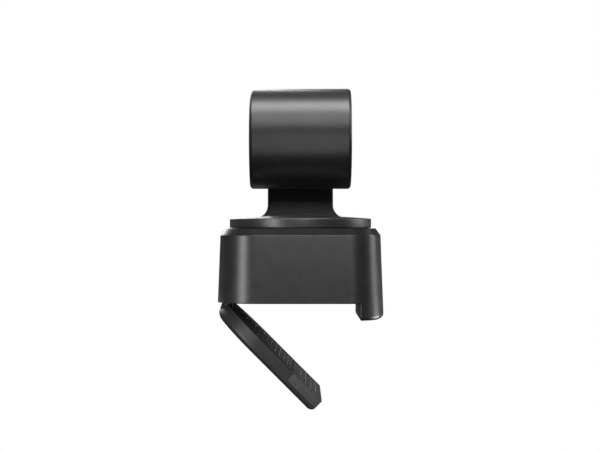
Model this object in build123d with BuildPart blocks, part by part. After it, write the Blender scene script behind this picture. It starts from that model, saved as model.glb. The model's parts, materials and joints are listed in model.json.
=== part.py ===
from build123d import *
from math import asin, atan, cos, degrees, radians, sin, sqrt, tan
import os

# Two-axis webcam on a monitor clip. Millimetres.
# Origin: mouth of the tripod socket on the base's underside, on the pan axis.
# +X is the lens side and the front lip, +Z is up, +Y is the side that carries the arm.

# Base
base_rear = -23.5
base_front = 24.0
base_width = 46.0
base_height = 21.0
rear_corner = 11.5
front_corner = 9.0
front_crown = 75.0
draft = 2.15
chamfer_height = 2.0
chamfer_run = 1.45
wall = 1.7
top_wall = 1.8
cover_thickness = 2.0
cover_gap = 0.1
cover_front = 15.6
lip_inner = 16.85
lip_depth = 4.75
lip_round = 1.2
underside_pad_proud = 0.2
lip_pad_proud = 0.1
pad_recess = 0.5
edge_round = 0.25
socket_radius = 3.175
socket_depth = 6.2
insert_radius = 4.2
inlet_z = 7.85
front_detail_z = 11.5
microphone_spacing = 12.0

# Leg and its hinge
hinge_x = -20.9
hinge_z = -0.9
leg_angle = 45.0
leg_reach = 37.55
leg_half_width = 22.0
leg_inner = 0.49
leg_outer = -3.82
leg_edge_round = 1.7
leg_corner = 15.5
leg_tip_corner = 0.5
nose_radius = 3.6
nose_reach = 1.37
knuckle_radius = 1.37
ear_radius = 1.55
notch_radius = 1.85
groove_radius = 2.35
side_groove_radius = 1.65
groove_half = 12.7
side_groove_half = 14.5
pin_radius = 0.8
pin_clearance = 0.04
knuckle_half = 8.7
ear_inner = 9.2
ear_outer = 12.2
ear_gap = 0.25
pad_start = 5.0
pad_end = 25.6
pad_width = 37.0
pad_depth = 0.8
pad_fit = 0.1
tip_pad_start = 26.4
tip_pad_depth = 2.7
tip_pad_round = 0.2

# Turntable and pan drive
disc_radius = 20.6
disc_bottom = 21.06
disc_rim_top = 23.8
dome_rise = 0.9
disc_recess = 22.4
skirt_inner = 18.9
skirt_outer = 19.9
skirt_bottom = 20.5
skirt_gap = 0.4
shaft_radius = 3.2
bearing_tube_inner = 6.2
bearing_tube_outer = 7.4
rotor_bottom = 9.8
rotor_radius = 15.0
magnet_radius = 13.9
pan_bearing_heights = (11.2, 18.4)
pan_bearing_width = 2.4

# Arm and tilt drive
tilt_z = 46.95
arm_half_width = 9.8
arm_near = 12.6
arm_split = 16.4
arm_outer_radius = 20.2
arm_flare = 3.8
arm_foot = 24.2
arm_edge_round = 0.6
arm_wall = 1.15
tilt_shaft_radius = 1.5
tilt_bearing_reaches = (12.8, 14.6)
tilt_bearing_width = 1.4

# Head
head_y = -2.5
head_radius = 14.5
head_half_length = 14.55
head_round = 1.0
head_bore = 13.0
boss_radius = 8.0
boss_face = 12.2

half_width = base_width / 2
base_length = base_front - base_rear
inner_height = base_height - top_wall
chamfer_start = base_height - chamfer_height
draft_rate = tan(radians(draft))
leg_cos = cos(radians(leg_angle))
leg_sin = sin(radians(leg_angle))
leg_plane = Plane(origin=(hinge_x, 0, hinge_z), x_dir=(leg_cos, 0, -leg_sin), z_dir=(leg_sin, 0, leg_cos))
leg_side = Plane(origin=(hinge_x, 0, hinge_z), x_dir=(leg_cos, 0, -leg_sin), z_dir=(0, -1, 0))
hinge_side = Plane(origin=(hinge_x, 0, hinge_z), x_dir=(1, 0, 0), z_dir=(0, -1, 0))
leg_length = Axis((hinge_x, 0, hinge_z), (leg_cos, 0, -leg_sin))
leg_normal = Axis((hinge_x, 0, hinge_z), (leg_sin, 0, leg_cos))

cover_screw_points = [(-14.5, 15.5), (-14.5, -15.5), (12.5, 16.5), (12.5, -16.5)]
board_post_points = [(-13.0, 10.0), (-13.0, -10.0), (13.0, 10.0), (13.0, -10.0)]
foot_screw_points = [(-7.0, 15.3), (7.0, 15.3)]

os.makedirs("parts", exist_ok=True)


def base_outline(inset=0.0):
    """Plan of the base: round rear corners, smaller front corners and a crowned front."""
    front_side = base_front - (front_crown - sqrt(front_crown**2 - half_width**2))
    with BuildSketch() as outline:
        with BuildLine():
            front = ThreePointArc((front_side, -half_width), (base_front, 0), (front_side, half_width))
            Polyline(front @ 1, (base_rear, half_width), (base_rear, -half_width), front @ 0)
        make_face()
        fillet(outline.vertices().group_by(Axis.X)[0], rear_corner)
        fillet(outline.vertices().sort_by(Axis.X)[-2:], front_corner)
        if inset:
            offset(amount=-inset)
    return outline.sketch


def head_plane(x):
    """Section of the head at x, square to the optical axis."""
    return Plane(origin=(x, head_y, tilt_z), x_dir=(0, 1, 0), z_dir=(1, 0, 0))


def tilt_plane(y):
    """Section at y, square to the tilt axis."""
    return Plane(origin=(0, y, tilt_z), x_dir=(1, 0, 0), z_dir=(0, 1, 0))


def pan_plane(z):
    """Section at z, square to the pan axis."""
    return Plane.XY.offset(z)


def arc_blocks(plane, inner, outer, length, count, share):
    """Arc-shaped blocks spread evenly round a ring, each filling a share of its pitch."""
    half_angle = radians(180 / count * share)
    reach = 2 * outer
    corner = (reach * cos(half_angle), reach * sin(half_angle))
    with BuildSketch() as wedges:
        with PolarLocations(0, count):
            Polygon((0, 0), (corner[0], -corner[1]), corner, align=None)
    with BuildPart() as blocks:
        with BuildSketch(plane):
            Circle(outer)
            Circle(inner, mode=Mode.SUBTRACT)
            add(wedges.sketch, mode=Mode.INTERSECT)
        extrude(amount=length)
    return blocks.part


def stator_core(plane, bore, back, tooth_end, tip, length, count, tooth_width):
    """Slotted core: a back ring with straight teeth that end in arc tips."""
    tips = arc_blocks(plane, tooth_end, tip, length, count, 0.78)
    with BuildPart() as core:
        with BuildSketch(plane):
            Circle(back)
            with PolarLocations((back + tooth_end) / 2, count):
                Rectangle(tooth_end - back + 0.8, tooth_width)
            Circle(bore, mode=Mode.SUBTRACT)
        extrude(amount=length)
        add(tips)
    return core.part


def coil_set(plane, inner, outer, length, count, tooth_width, tooth_length, turn_width):
    """One wound coil round each tooth, each a closed rectangular loop."""
    middle = (inner + outer) / 2
    overhang = (length - tooth_length) / 2
    with BuildPart() as coils:
        with BuildSketch(plane):
            with PolarLocations(middle, count):
                Rectangle(outer - inner, tooth_width + 2 * turn_width)
        extrude(amount=length)
        with BuildSketch(plane.offset(overhang)):
            with PolarLocations(middle, count):
                Rectangle(outer - inner + 1, tooth_width)
        extrude(amount=tooth_length, mode=Mode.SUBTRACT)
    return coils.part


def ball_set(plane, pitch_radius, ball_radius, count):
    """Bearing balls in a ring."""
    with BuildPart() as balls:
        with Locations(plane):
            with PolarLocations(pitch_radius, count):
                Sphere(ball_radius)
    return balls.part


def dome_point(radius, bulge):
    """Depth below the crown and height of the point halfway round a spherical cap."""
    sphere = (radius**2 + bulge**2) / (2 * bulge)
    half_angle = asin(radius / sphere) / 2
    return sphere * (1 - cos(half_angle)), sphere * sin(half_angle)


def lens_solid(x, radius, front_bulge, rear_bulge, thickness):
    """One lens on the optical axis with curved front and rear faces."""
    profile_plane = Plane(origin=(x, head_y, tilt_z), x_dir=(1, 0, 0), z_dir=(0, -1, 0))
    rear_crown = -rear_bulge
    front_crown_x = thickness + front_bulge
    rear_depth, rear_height = dome_point(radius, rear_bulge)
    front_depth, front_height = dome_point(radius, front_bulge)
    with BuildPart() as lens:
        with BuildSketch(profile_plane):
            with BuildLine():
                rear = ThreePointArc((0, radius), (rear_crown + rear_depth, rear_height), (rear_crown, 0))
                middle = Line(rear @ 1, (front_crown_x, 0))
                front = ThreePointArc(middle @ 1, (front_crown_x - front_depth, front_height), (thickness, radius))
                Line(front @ 1, rear @ 0)
            make_face()
        revolve(axis=Axis((0, head_y, tilt_z), (1, 0, 0)))
    return lens.part


# ---- Base ----

with BuildPart() as base_housing:
    with BuildSketch(pan_plane(-lip_depth)):
        add(base_outline(-lip_depth * draft_rate))
    extrude(amount=lip_depth + chamfer_start, taper=draft)
    with BuildSketch(pan_plane(chamfer_start)):
        add(base_outline(chamfer_start * draft_rate))
    extrude(amount=chamfer_height, taper=degrees(atan(chamfer_run / chamfer_height)))
    # Only the lip stays below the underside
    with BuildSketch(Plane.XY):
        with Locations((lip_inner, 0)):
            Rectangle(2 * base_length, 2 * base_width, align=(Align.MAX, Align.CENTER))
    extrude(amount=-2 * lip_depth, mode=Mode.SUBTRACT)
    lip_edges = base_housing.edges().group_by(Axis.Z)[0]
    fillet(lip_edges.sort_by(Axis.X)[1:], lip_round)
    fillet(base_housing.edges().filter_by_position(Axis.Z, -0.01, 0.01).filter_by_position(Axis.X, -30, 15), edge_round)
    # Room inside, and the mouth that the cover closes
    with BuildSketch(pan_plane(cover_thickness)):
        add(base_outline(wall + cover_thickness * draft_rate))
    extrude(amount=inner_height - cover_thickness, taper=draft, mode=Mode.SUBTRACT)
    with BuildSketch(Plane.XY):
        add(base_outline(wall))
        with Locations((cover_front, 0)):
            Rectangle(base_length, base_width, align=(Align.MIN, Align.CENTER), mode=Mode.SUBTRACT)
    extrude(amount=cover_thickness, mode=Mode.SUBTRACT)
    # Pocket that cores out the lip
    with BuildSketch(pan_plane(-lip_depth + wall)):
        with Locations((lip_inner + 1.5, 0)):
            Rectangle(2.9, 30.0, align=(Align.MIN, Align.CENTER))
    extrude(amount=lip_depth + cover_thickness, mode=Mode.SUBTRACT)
    # Tube that carries the pan bearings
    with BuildSketch(pan_plane(11.0)):
        Circle(bearing_tube_outer)
    extrude(amount=inner_height - 11.0)
    # Columns that take the cover's screws
    with BuildSketch(pan_plane(cover_thickness)):
        with Locations(*cover_screw_points):
            Circle(2.2)
    extrude(amount=inner_height - cover_thickness)
    with BuildSketch(pan_plane(cover_thickness)):
        with Locations(*cover_screw_points):
            Circle(0.8)
    extrude(amount=6.0, mode=Mode.SUBTRACT)
    with BuildSketch(pan_plane(11.0)):
        Circle(bearing_tube_inner)
    extrude(amount=base_height, mode=Mode.SUBTRACT)
    # Ring groove in the top, in which the turntable's skirt runs
    with BuildSketch(pan_plane(skirt_bottom - skirt_gap)):
        Circle(skirt_outer + skirt_gap)
        Circle(skirt_inner - skirt_gap, mode=Mode.SUBTRACT)
    extrude(amount=base_height, mode=Mode.SUBTRACT)
    # Groove in which the leg's rounded end turns
    for radius, reach in ((groove_radius, groove_half), (side_groove_radius, side_groove_half)):
        with BuildSketch(hinge_side):
            Circle(radius)
        extrude(amount=reach, both=True, mode=Mode.SUBTRACT)
    # Openings for the USB-C inlet, the indicator and the two microphones
    with BuildSketch(Plane(origin=(base_rear - 1, 0, inlet_z), x_dir=(0, 1, 0), z_dir=(1, 0, 0))):
        SlotOverall(9.3, 3.6)
    extrude(amount=4.0, mode=Mode.SUBTRACT)
    with BuildSketch(Plane(origin=(base_front + 1, 0, front_detail_z), x_dir=(0, 1, 0), z_dir=(-1, 0, 0))):
        Circle(0.9)
        with GridLocations(microphone_spacing, 1, 2, 1):
            Circle(0.45)
    extrude(amount=4.0, mode=Mode.SUBTRACT)
    # Recess for the lip's grip pad
    with BuildSketch(Plane(origin=(lip_inner, 0, 0), x_dir=(0, 1, 0), z_dir=(1, 0, 0))):
        Rectangle(40.0, 4.0, align=(Align.CENTER, Align.MAX))
    extrude(amount=pad_recess, mode=Mode.SUBTRACT)
base_housing.part.label = "base_housing"
export_step(base_housing.part, "parts/base_housing.step")

with BuildPart() as base_cover:
    with BuildSketch(Plane.XY):
        add(base_outline(wall + cover_gap))
        with Locations((cover_front - cover_gap, 0)):
            Rectangle(base_length, base_width, align=(Align.MIN, Align.CENTER), mode=Mode.SUBTRACT)
    extrude(amount=cover_thickness)
    # Boss round the tripod insert, posts for the board and ribs over the hinge ears
    with BuildSketch(pan_plane(cover_thickness)):
        Circle(5.6)
        with Locations(*board_post_points):
            Circle(1.9)
    extrude(amount=3.0)
    with BuildSketch(pan_plane(cover_thickness)):
        Circle(5.6)
    extrude(amount=5.0)
    with BuildSketch(pan_plane(cover_thickness)):
        with Locations((-19.4, 10.7), (-19.4, -10.7)):
            Rectangle(3.4, 3.4)
    extrude(amount=1.6)
    with BuildSketch(Plane.XY):
        Circle(insert_radius)
    extrude(amount=10.0, mode=Mode.SUBTRACT)
    with BuildSketch(pan_plane(cover_thickness)):
        with Locations(*board_post_points):
            Circle(0.6)
    extrude(amount=5.0, mode=Mode.SUBTRACT)
    with BuildSketch(Plane.XY):
        with Locations(*cover_screw_points):
            Circle(1.1)
    extrude(amount=cover_thickness, mode=Mode.SUBTRACT)
    with BuildSketch(Plane.XY):
        with Locations(*cover_screw_points):
            Circle(2.0)
    extrude(amount=1.1, mode=Mode.SUBTRACT)
    # Recess for the underside pad
    with BuildSketch(Plane.XY):
        with Locations((-2.2, 0)):
            RectangleRounded(20.0, 25.0, 3.0)
    extrude(amount=0.6, mode=Mode.SUBTRACT)
    with BuildSketch(Plane.XY):
        with Locations((8.9, 0)):
            Rectangle(10.0, 44.0, align=(Align.MIN, Align.CENTER))
    extrude(amount=0.6, mode=Mode.SUBTRACT)
    for radius, reach in ((groove_radius, groove_half), (side_groove_radius, side_groove_half)):
        with BuildSketch(hinge_side):
            Circle(radius)
        extrude(amount=reach, both=True, mode=Mode.SUBTRACT)
    # Ears: round the pin and up to the cover
    for side in (-1, 1):
        with BuildSketch(hinge_side.offset(-side * (ear_inner + ear_outer) / 2)):
            Circle(ear_radius)
            with Locations((-0.8, 0)):
                Rectangle(2.2, 2.5, align=(Align.MIN, Align.MIN))
        extrude(amount=(ear_outer - ear_inner) / 2, both=True)
    with BuildSketch(hinge_side):
        Circle(pin_radius)
    extrude(amount=ear_outer, both=True, mode=Mode.SUBTRACT)
base_cover.part.label = "base_cover"
export_step(base_cover.part, "parts/base_cover.step")

with BuildPart() as underside_pad:
    with BuildSketch(Plane.XY):
        with Locations((-2.2, 0)):
            RectangleRounded(19.8, 24.8, 2.9)
        Circle(6.4, mode=Mode.SUBTRACT)
    extrude(amount=0.6)
underside_pad.part.label = "underside_pad"
export_step(underside_pad.part, "parts/underside_pad.step")

with BuildPart() as lip_grip_pad:
    with BuildSketch(pan_plane(-underside_pad_proud)):
        add(base_outline(wall + cover_gap + 0.4))
        with Locations((9.0, 0)):
            Rectangle(2 * base_length, 2 * base_width, align=(Align.MAX, Align.CENTER), mode=Mode.SUBTRACT)
        with Locations((cover_front - 0.2, 0)):
            Rectangle(base_length, base_width, align=(Align.MIN, Align.CENTER), mode=Mode.SUBTRACT)
        with Locations(*cover_screw_points[2:]):
            Circle(2.1, mode=Mode.SUBTRACT)
    extrude(amount=underside_pad_proud + 0.6)
    # Thin web under the front edge, then the strip on the lip's inner face
    with BuildSketch(pan_plane(-underside_pad_proud)):
        with Locations((cover_front - 0.3, 0)):
            Rectangle(lip_inner - cover_front + 0.3, 39.8, align=(Align.MIN, Align.CENTER))
    extrude(amount=underside_pad_proud)
    with BuildSketch(Plane(origin=(lip_inner - lip_pad_proud, 0, 0), x_dir=(0, 1, 0), z_dir=(1, 0, 0))):
        Rectangle(39.8, 3.9, align=(Align.CENTER, Align.MAX))
    extrude(amount=lip_pad_proud + pad_recess)
lip_grip_pad.part.label = "lip_grip_pad"
export_step(lip_grip_pad.part, "parts/lip_grip_pad.step")

with BuildPart() as tripod_insert:
    with BuildSketch(Plane.XY):
        Circle(insert_radius)
    extrude(amount=6.6)
    with BuildSketch(pan_plane(6.6)):
        Circle(3.6)
    extrude(amount=0.4)
    with BuildSketch(Plane.XY):
        Circle(socket_radius)
    extrude(amount=socket_depth, mode=Mode.SUBTRACT)
tripod_insert.part.label = "tripod_insert"
export_step(tripod_insert.part, "parts/tripod_insert.step")

with BuildPart() as base_screws:
    with BuildSketch(pan_plane(0.2)):
        with Locations(*cover_screw_points):
            Circle(1.8)
    extrude(amount=0.9)
    with BuildSketch(pan_plane(0.2)):
        with Locations(*cover_screw_points):
            Circle(0.75)
    extrude(amount=6.8)
    with BuildSketch(pan_plane(0.2)):
        with Locations(*cover_screw_points):
            Rectangle(2.2, 0.4)
            Rectangle(0.4, 2.2)
    extrude(amount=0.45, mode=Mode.SUBTRACT)
base_screws.part.label = "base_screws"
export_step(base_screws.part, "parts/base_screws.step")

with BuildPart() as ballast_plate:
    with BuildSketch(pan_plane(cover_thickness + 0.05)):
        with Locations((0.5, 0)):
            RectangleRounded(30.0, 36.0, 4.0)
        Circle(6.0, mode=Mode.SUBTRACT)
        with Locations(*cover_screw_points, *board_post_points):
            Circle(2.8, mode=Mode.SUBTRACT)
    extrude(amount=2.2)
ballast_plate.part.label = "ballast_plate"
export_step(ballast_plate.part, "parts/ballast_plate.step")

board_bottom = cover_thickness + 3.0
board_top = board_bottom + 1.2

with BuildPart() as main_board:
    with BuildSketch(pan_plane(board_bottom)):
        with Locations((-2.5, 0)):
            RectangleRounded(36.0, 25.0, 1.5)
        Circle(6.2, mode=Mode.SUBTRACT)
        with Locations(*board_post_points):
            Circle(0.75, mode=Mode.SUBTRACT)
    extrude(amount=board_top - board_bottom)
main_board.part.label = "main_board"
export_step(main_board.part, "parts/main_board.step")

with BuildPart() as processor_shield:
    with BuildSketch(pan_plane(board_top)):
        with Locations((-11.2, 0)):
            RectangleRounded(7.6, 14.0, 0.5)
    extrude(amount=1.9)
    with BuildSketch(pan_plane(board_top)):
        with Locations((-11.2, 0)):
            Rectangle(7.0, 13.4)
    extrude(amount=1.6, mode=Mode.SUBTRACT)
processor_shield.part.label = "processor_shield"
export_step(processor_shield.part, "parts/processor_shield.step")

with BuildPart() as board_chips:
    with BuildSketch(pan_plane(board_top)):
        with Locations((-11.2, 0)):
            Rectangle(5.5, 5.5)
        with Locations((0, 9.4), (0, -9.4)):
            Rectangle(8.0, 4.6)
        with Locations((10.5, 0)):
            Rectangle(5.0, 8.0)
    extrude(amount=1.1)
    with BuildSketch(pan_plane(board_top)):
        with Locations((-8.0, 10.6), (-8.0, -10.6), (7.0, 10.6), (7.0, -10.6), (8.5, 6.6), (8.5, -6.6)):
            Rectangle(2.0, 1.2)
    extrude(amount=0.6)
board_chips.part.label = "board_chips"
export_step(board_chips.part, "parts/board_chips.step")

with BuildPart() as board_screws:
    with BuildSketch(pan_plane(board_top)):
        with Locations(*board_post_points):
            Circle(1.3)
    extrude(amount=0.8)
    with BuildSketch(pan_plane(board_top)):
        with Locations(*board_post_points):
            Circle(0.55)
    extrude(amount=-3.6)
    with BuildSketch(pan_plane(board_top + 0.4)):
        with Locations(*board_post_points):
            Rectangle(1.6, 0.3)
            Rectangle(0.3, 1.6)
    extrude(amount=0.4, mode=Mode.SUBTRACT)
board_screws.part.label = "board_screws"
export_step(board_screws.part, "parts/board_screws.step")

with BuildPart() as usb_socket_shell:
    with BuildSketch(Plane(origin=(-23.1, 0, inlet_z), x_dir=(0, 1, 0), z_dir=(1, 0, 0))):
        SlotOverall(8.94, 3.26)
        SlotOverall(8.34, 2.66, mode=Mode.SUBTRACT)
    extrude(amount=7.2)
    with BuildSketch(Plane(origin=(-16.1, 0, inlet_z), x_dir=(0, 1, 0), z_dir=(1, 0, 0))):
        SlotOverall(8.94, 3.26)
    extrude(amount=0.4)
usb_socket_shell.part.label = "usb_socket_shell"
export_step(usb_socket_shell.part, "parts/usb_socket_shell.step")

with BuildPart() as usb_socket_tongue:
    with BuildSketch(Plane(origin=(-22.5, 0, inlet_z), x_dir=(0, 1, 0), z_dir=(1, 0, 0))):
        RectangleRounded(6.7, 0.7, 0.3)
    extrude(amount=6.4)
usb_socket_tongue.part.label = "usb_socket_tongue"
export_step(usb_socket_tongue.part, "parts/usb_socket_tongue.step")

with BuildPart() as front_board:
    with BuildSketch(Plane(origin=(19.2, 0, front_detail_z), x_dir=(0, 1, 0), z_dir=(1, 0, 0))):
        RectangleRounded(17.0, 5.6, 0.8)
    extrude(amount=0.8)
front_board.part.label = "front_board"
export_step(front_board.part, "parts/front_board.step")

with BuildPart() as microphones:
    with BuildSketch(Plane(origin=(20.0, 0, front_detail_z), x_dir=(0, 1, 0), z_dir=(1, 0, 0))):
        with GridLocations(microphone_spacing, 1, 2, 1):
            Rectangle(2.9, 2.2)
    extrude(amount=0.9)
microphones.part.label = "microphones"
export_step(microphones.part, "parts/microphones.step")

with BuildPart() as indicator_led:
    with BuildSketch(Plane(origin=(20.0, 0, front_detail_z), x_dir=(0, 1, 0), z_dir=(1, 0, 0))):
        Rectangle(1.6, 0.8)
    extrude(amount=0.7)
indicator_led.part.label = "indicator_led"
export_step(indicator_led.part, "parts/indicator_led.step")

with BuildPart() as indicator_lens:
    with BuildSketch(Plane(origin=(20.9, 0, front_detail_z), x_dir=(0, 1, 0), z_dir=(1, 0, 0))):
        Circle(0.87)
    extrude(amount=2.1)
indicator_lens.part.label = "indicator_lens"
export_step(indicator_lens.part, "parts/indicator_lens.step")

pan_stator = stator_core(pan_plane(13.4), bearing_tube_outer, 8.7, 11.6, 12.4, 3.4, 12, 1.6)
pan_stator.label = "pan_stator"
export_step(pan_stator, "parts/pan_stator.step")

pan_coils = coil_set(pan_plane(12.7), 9.6, 11.3, 4.8, 12, 1.6, 3.4, 0.7)
pan_coils.label = "pan_coils"
export_step(pan_coils, "parts/pan_coils.step")

with BuildPart() as pan_bearing_races:
    for height in pan_bearing_heights:
        with BuildSketch(pan_plane(height)):
            Circle(bearing_tube_inner)
            Circle(5.2, mode=Mode.SUBTRACT)
        extrude(amount=pan_bearing_width)
pan_bearing_races.part.label = "pan_bearing_races"
export_step(pan_bearing_races.part, "parts/pan_bearing_races.step")

with BuildPart() as pan_bearing_balls:
    for height in pan_bearing_heights:
        add(ball_set(pan_plane(height + pan_bearing_width / 2), 4.72, 0.46, 9))
pan_bearing_balls.part.label = "pan_bearing_balls"
export_step(pan_bearing_balls.part, "parts/pan_bearing_balls.step")

with BuildPart() as hinge_pin:
    with BuildSketch(hinge_side):
        Circle(pin_radius)
    extrude(amount=ear_outer - 0.1, both=True)
hinge_pin.part.label = "hinge_pin"
export_step(hinge_pin.part, "parts/hinge_pin.step")

with BuildPart() as hinge_washers:
    for side in (-1, 1):
        with BuildSketch(hinge_side.offset(-side * (ear_inner - 0.22))):
            Circle(knuckle_radius - 0.05)
            Circle(pin_radius, mode=Mode.SUBTRACT)
        extrude(amount=0.2, both=True)
hinge_washers.part.label = "hinge_washers"
export_step(hinge_washers.part, "parts/hinge_washers.step")

# ---- Turret ----

with BuildPart() as turntable:
    with BuildSketch(Plane.XZ) as dish:
        with BuildLine():
            dome = ThreePointArc(
                (0, disc_rim_top + dome_rise),
                (disc_radius / 2, disc_rim_top + dome_rise * 0.75),
                (disc_radius, disc_rim_top),
            )
            Polyline(
                dome @ 1,
                (disc_radius, disc_bottom),
                (skirt_outer, disc_bottom),
                (skirt_outer, skirt_bottom),
                (skirt_inner, skirt_bottom),
                (skirt_inner, disc_recess),
                (0, disc_recess),
                dome @ 0,
            )
        make_face()
        fillet(dish.vertices().sort_by(Axis.X)[-2:], 0.3)
    revolve(axis=Axis.Z)
    # Channel for the flat cable, from the hollow shaft to the arm
    with BuildSketch(pan_plane(disc_recess)):
        Rectangle(5.4, 16.0, align=(Align.CENTER, Align.MIN))
        Circle(2.7)
    extrude(amount=0.9, mode=Mode.SUBTRACT)
    with BuildSketch(pan_plane(disc_bottom)):
        with Locations((0, 15.3)):
            Rectangle(5.0, 1.2)
        with Locations(*foot_screw_points):
            Circle(0.95)
    extrude(amount=8.0, mode=Mode.SUBTRACT)
turntable.part.label = "turntable"
export_step(turntable.part, "parts/turntable.step")

with BuildPart() as pan_shaft:
    with BuildSketch(pan_plane(rotor_bottom)):
        Circle(shaft_radius)
    extrude(amount=disc_recess - rotor_bottom)
    with BuildSketch(pan_plane(disc_recess)):
        Circle(8.6)
    extrude(amount=-1.15)
    with BuildSketch(pan_plane(rotor_bottom)):
        Circle(2.1)
    extrude(amount=20.0, mode=Mode.SUBTRACT)
pan_shaft.part.label = "pan_shaft"
export_step(pan_shaft.part, "parts/pan_shaft.step")

with BuildPart() as pan_rotor:
    with BuildSketch(pan_plane(rotor_bottom)):
        Circle(rotor_radius)
        Circle(shaft_radius, mode=Mode.SUBTRACT)
    extrude(amount=1.1)
    with BuildSketch(pan_plane(rotor_bottom)):
        Circle(rotor_radius)
        Circle(magnet_radius, mode=Mode.SUBTRACT)
    extrude(amount=7.8)
    with BuildSketch(pan_plane(rotor_bottom)):
        with PolarLocations(9.6, 6):
            Circle(1.7)
    extrude(amount=1.1, mode=Mode.SUBTRACT)
pan_rotor.part.label = "pan_rotor"
export_step(pan_rotor.part, "parts/pan_rotor.step")

pan_magnets = arc_blocks(pan_plane(11.6), 12.8, magnet_radius, 5.8, 14, 0.92)
pan_magnets.label = "pan_magnets"
export_step(pan_magnets, "parts/pan_magnets.step")

with BuildPart() as pan_bearing_inner:
    for height in pan_bearing_heights:
        with BuildSketch(pan_plane(height)):
            Circle(4.2)
            Circle(shaft_radius, mode=Mode.SUBTRACT)
        extrude(amount=pan_bearing_width)
pan_bearing_inner.part.label = "pan_bearing_inner"
export_step(pan_bearing_inner.part, "parts/pan_bearing_inner.step")


def arm_outline():
    """Front view of the arm: parallel sides, round top and concave flares at the foot."""
    side = arm_half_width
    foot_half = side + arm_flare
    flare_top = arm_foot + arm_flare
    with BuildSketch() as outline:
        with BuildLine():
            left = Line((-side, tilt_z), (-side, flare_top))
            left_flare = RadiusArc(left @ 1, (-foot_half, arm_foot), arm_flare)
            foot = Polyline(left_flare @ 1, (-foot_half, disc_bottom), (foot_half, disc_bottom), (foot_half, arm_foot))
            right_flare = RadiusArc(foot @ 1, (side, flare_top), arm_flare)
            right = Line(right_flare @ 1, (side, tilt_z))
            ThreePointArc(right @ 1, (0, tilt_z + side), (-side, tilt_z))
        make_face()
    return outline.sketch


with BuildPart() as arm_solid:
    with BuildSketch(Plane.XZ.offset(-arm_near)):
        add(arm_outline())
    extrude(amount=-10.0)
    with BuildSketch(pan_plane(20.0)):
        Circle(arm_outer_radius)
    extrude(amount=50.0, mode=Mode.INTERSECT)
    upright_edges = arm_solid.edges().filter_by_position(Axis.Z, arm_foot + 0.1, 100)
    fillet(upright_edges.filter_by(Axis.Y, reverse=True), arm_edge_round)
    add(turntable.part, mode=Mode.SUBTRACT)
    with BuildSketch(pan_plane(20.0)):
        Circle(arm_outer_radius + 1)
    extrude(amount=disc_rim_top - 20.0, mode=Mode.SUBTRACT)

with BuildPart() as arm_frame:
    add(arm_solid.part)
    with BuildSketch(Plane.XZ.offset(-arm_split)):
        Rectangle(80.0, 200.0)
    extrude(amount=-20.0, mode=Mode.SUBTRACT)
    # Room for the tilt motor and the cable
    with BuildSketch(tilt_plane(13.6)):
        Circle(8.5)
    extrude(amount=10.0, mode=Mode.SUBTRACT)
    with BuildSketch(tilt_plane(13.9)):
        with Locations((0, tilt_z - 33.0)):
            Rectangle(11.0, 14.0)
    extrude(amount=10.0, mode=Mode.SUBTRACT)
    with BuildSketch(pan_plane(disc_bottom)):
        with Locations((0, 15.3)):
            Rectangle(5.0, 1.2)
        with Locations(*foot_screw_points):
            Circle(0.8)
    extrude(amount=6.0, mode=Mode.SUBTRACT)
    # Tube that carries the tilt bearings
    with BuildSketch(tilt_plane(13.0)):
        Circle(3.9)
    extrude(amount=3.0)
    with BuildSketch(tilt_plane(arm_near)):
        Circle(3.0)
    extrude(amount=5.0, mode=Mode.SUBTRACT)
arm_frame.part.label = "arm_frame"
export_step(arm_frame.part, "parts/arm_frame.step")

with BuildPart() as arm_hollow:
    with BuildSketch(Plane.XZ.offset(-arm_split)):
        with Locations((0, tilt_z)):
            Circle(8.5)
        with Locations((0, 36.0)):
            Rectangle(11.0, 20.0)
    extrude(amount=-10.0)
    with BuildSketch(pan_plane(20.0)):
        Circle(arm_outer_radius - arm_wall)
    extrude(amount=50.0, mode=Mode.INTERSECT)

with BuildPart() as arm_cover:
    add(arm_solid.part)
    with BuildSketch(Plane.XZ.offset(-arm_split)):
        Rectangle(80.0, 200.0)
    extrude(amount=20.0, mode=Mode.SUBTRACT)
    add(arm_hollow.part, mode=Mode.SUBTRACT)
arm_cover.part.label = "arm_cover"
export_step(arm_cover.part, "parts/arm_cover.step")

with BuildPart() as arm_foot_screws:
    with BuildSketch(pan_plane(21.5)):
        with Locations(*foot_screw_points):
            Circle(1.7)
    extrude(amount=disc_recess - 21.5)
    with BuildSketch(pan_plane(21.5)):
        with Locations(*foot_screw_points):
            Circle(0.75)
    extrude(amount=4.6)
    with BuildSketch(pan_plane(21.5)):
        with Locations(*foot_screw_points):
            Rectangle(2.0, 0.4)
            Rectangle(0.4, 2.0)
    extrude(amount=0.4, mode=Mode.SUBTRACT)
arm_foot_screws.part.label = "arm_foot_screws"
export_step(arm_foot_screws.part, "parts/arm_foot_screws.step")

tilt_stator = stator_core(tilt_plane(14.2), 3.9, 4.6, 6.2, 6.7, 1.5, 9, 1.1)
tilt_stator.label = "tilt_stator"
export_step(tilt_stator, "parts/tilt_stator.step")

tilt_coils = coil_set(tilt_plane(13.85), 5.0, 6.0, 2.2, 9, 1.1, 1.5, 0.4)
tilt_coils.label = "tilt_coils"
export_step(tilt_coils, "parts/tilt_coils.step")

with BuildPart() as tilt_bearing_outer:
    for reach in tilt_bearing_reaches:
        with BuildSketch(tilt_plane(reach)):
            Circle(3.0)
            Circle(2.5, mode=Mode.SUBTRACT)
        extrude(amount=tilt_bearing_width)
tilt_bearing_outer.part.label = "tilt_bearing_outer"
export_step(tilt_bearing_outer.part, "parts/tilt_bearing_outer.step")

with BuildPart() as arm_ribbon:
    with BuildSketch(pan_plane(disc_bottom + 0.4)):
        with Locations((0, 15.3)):
            Rectangle(4.2, 0.3)
    extrude(amount=16.4)
arm_ribbon.part.label = "arm_ribbon"
export_step(arm_ribbon.part, "parts/arm_ribbon.step")

# ---- Head ----

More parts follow.
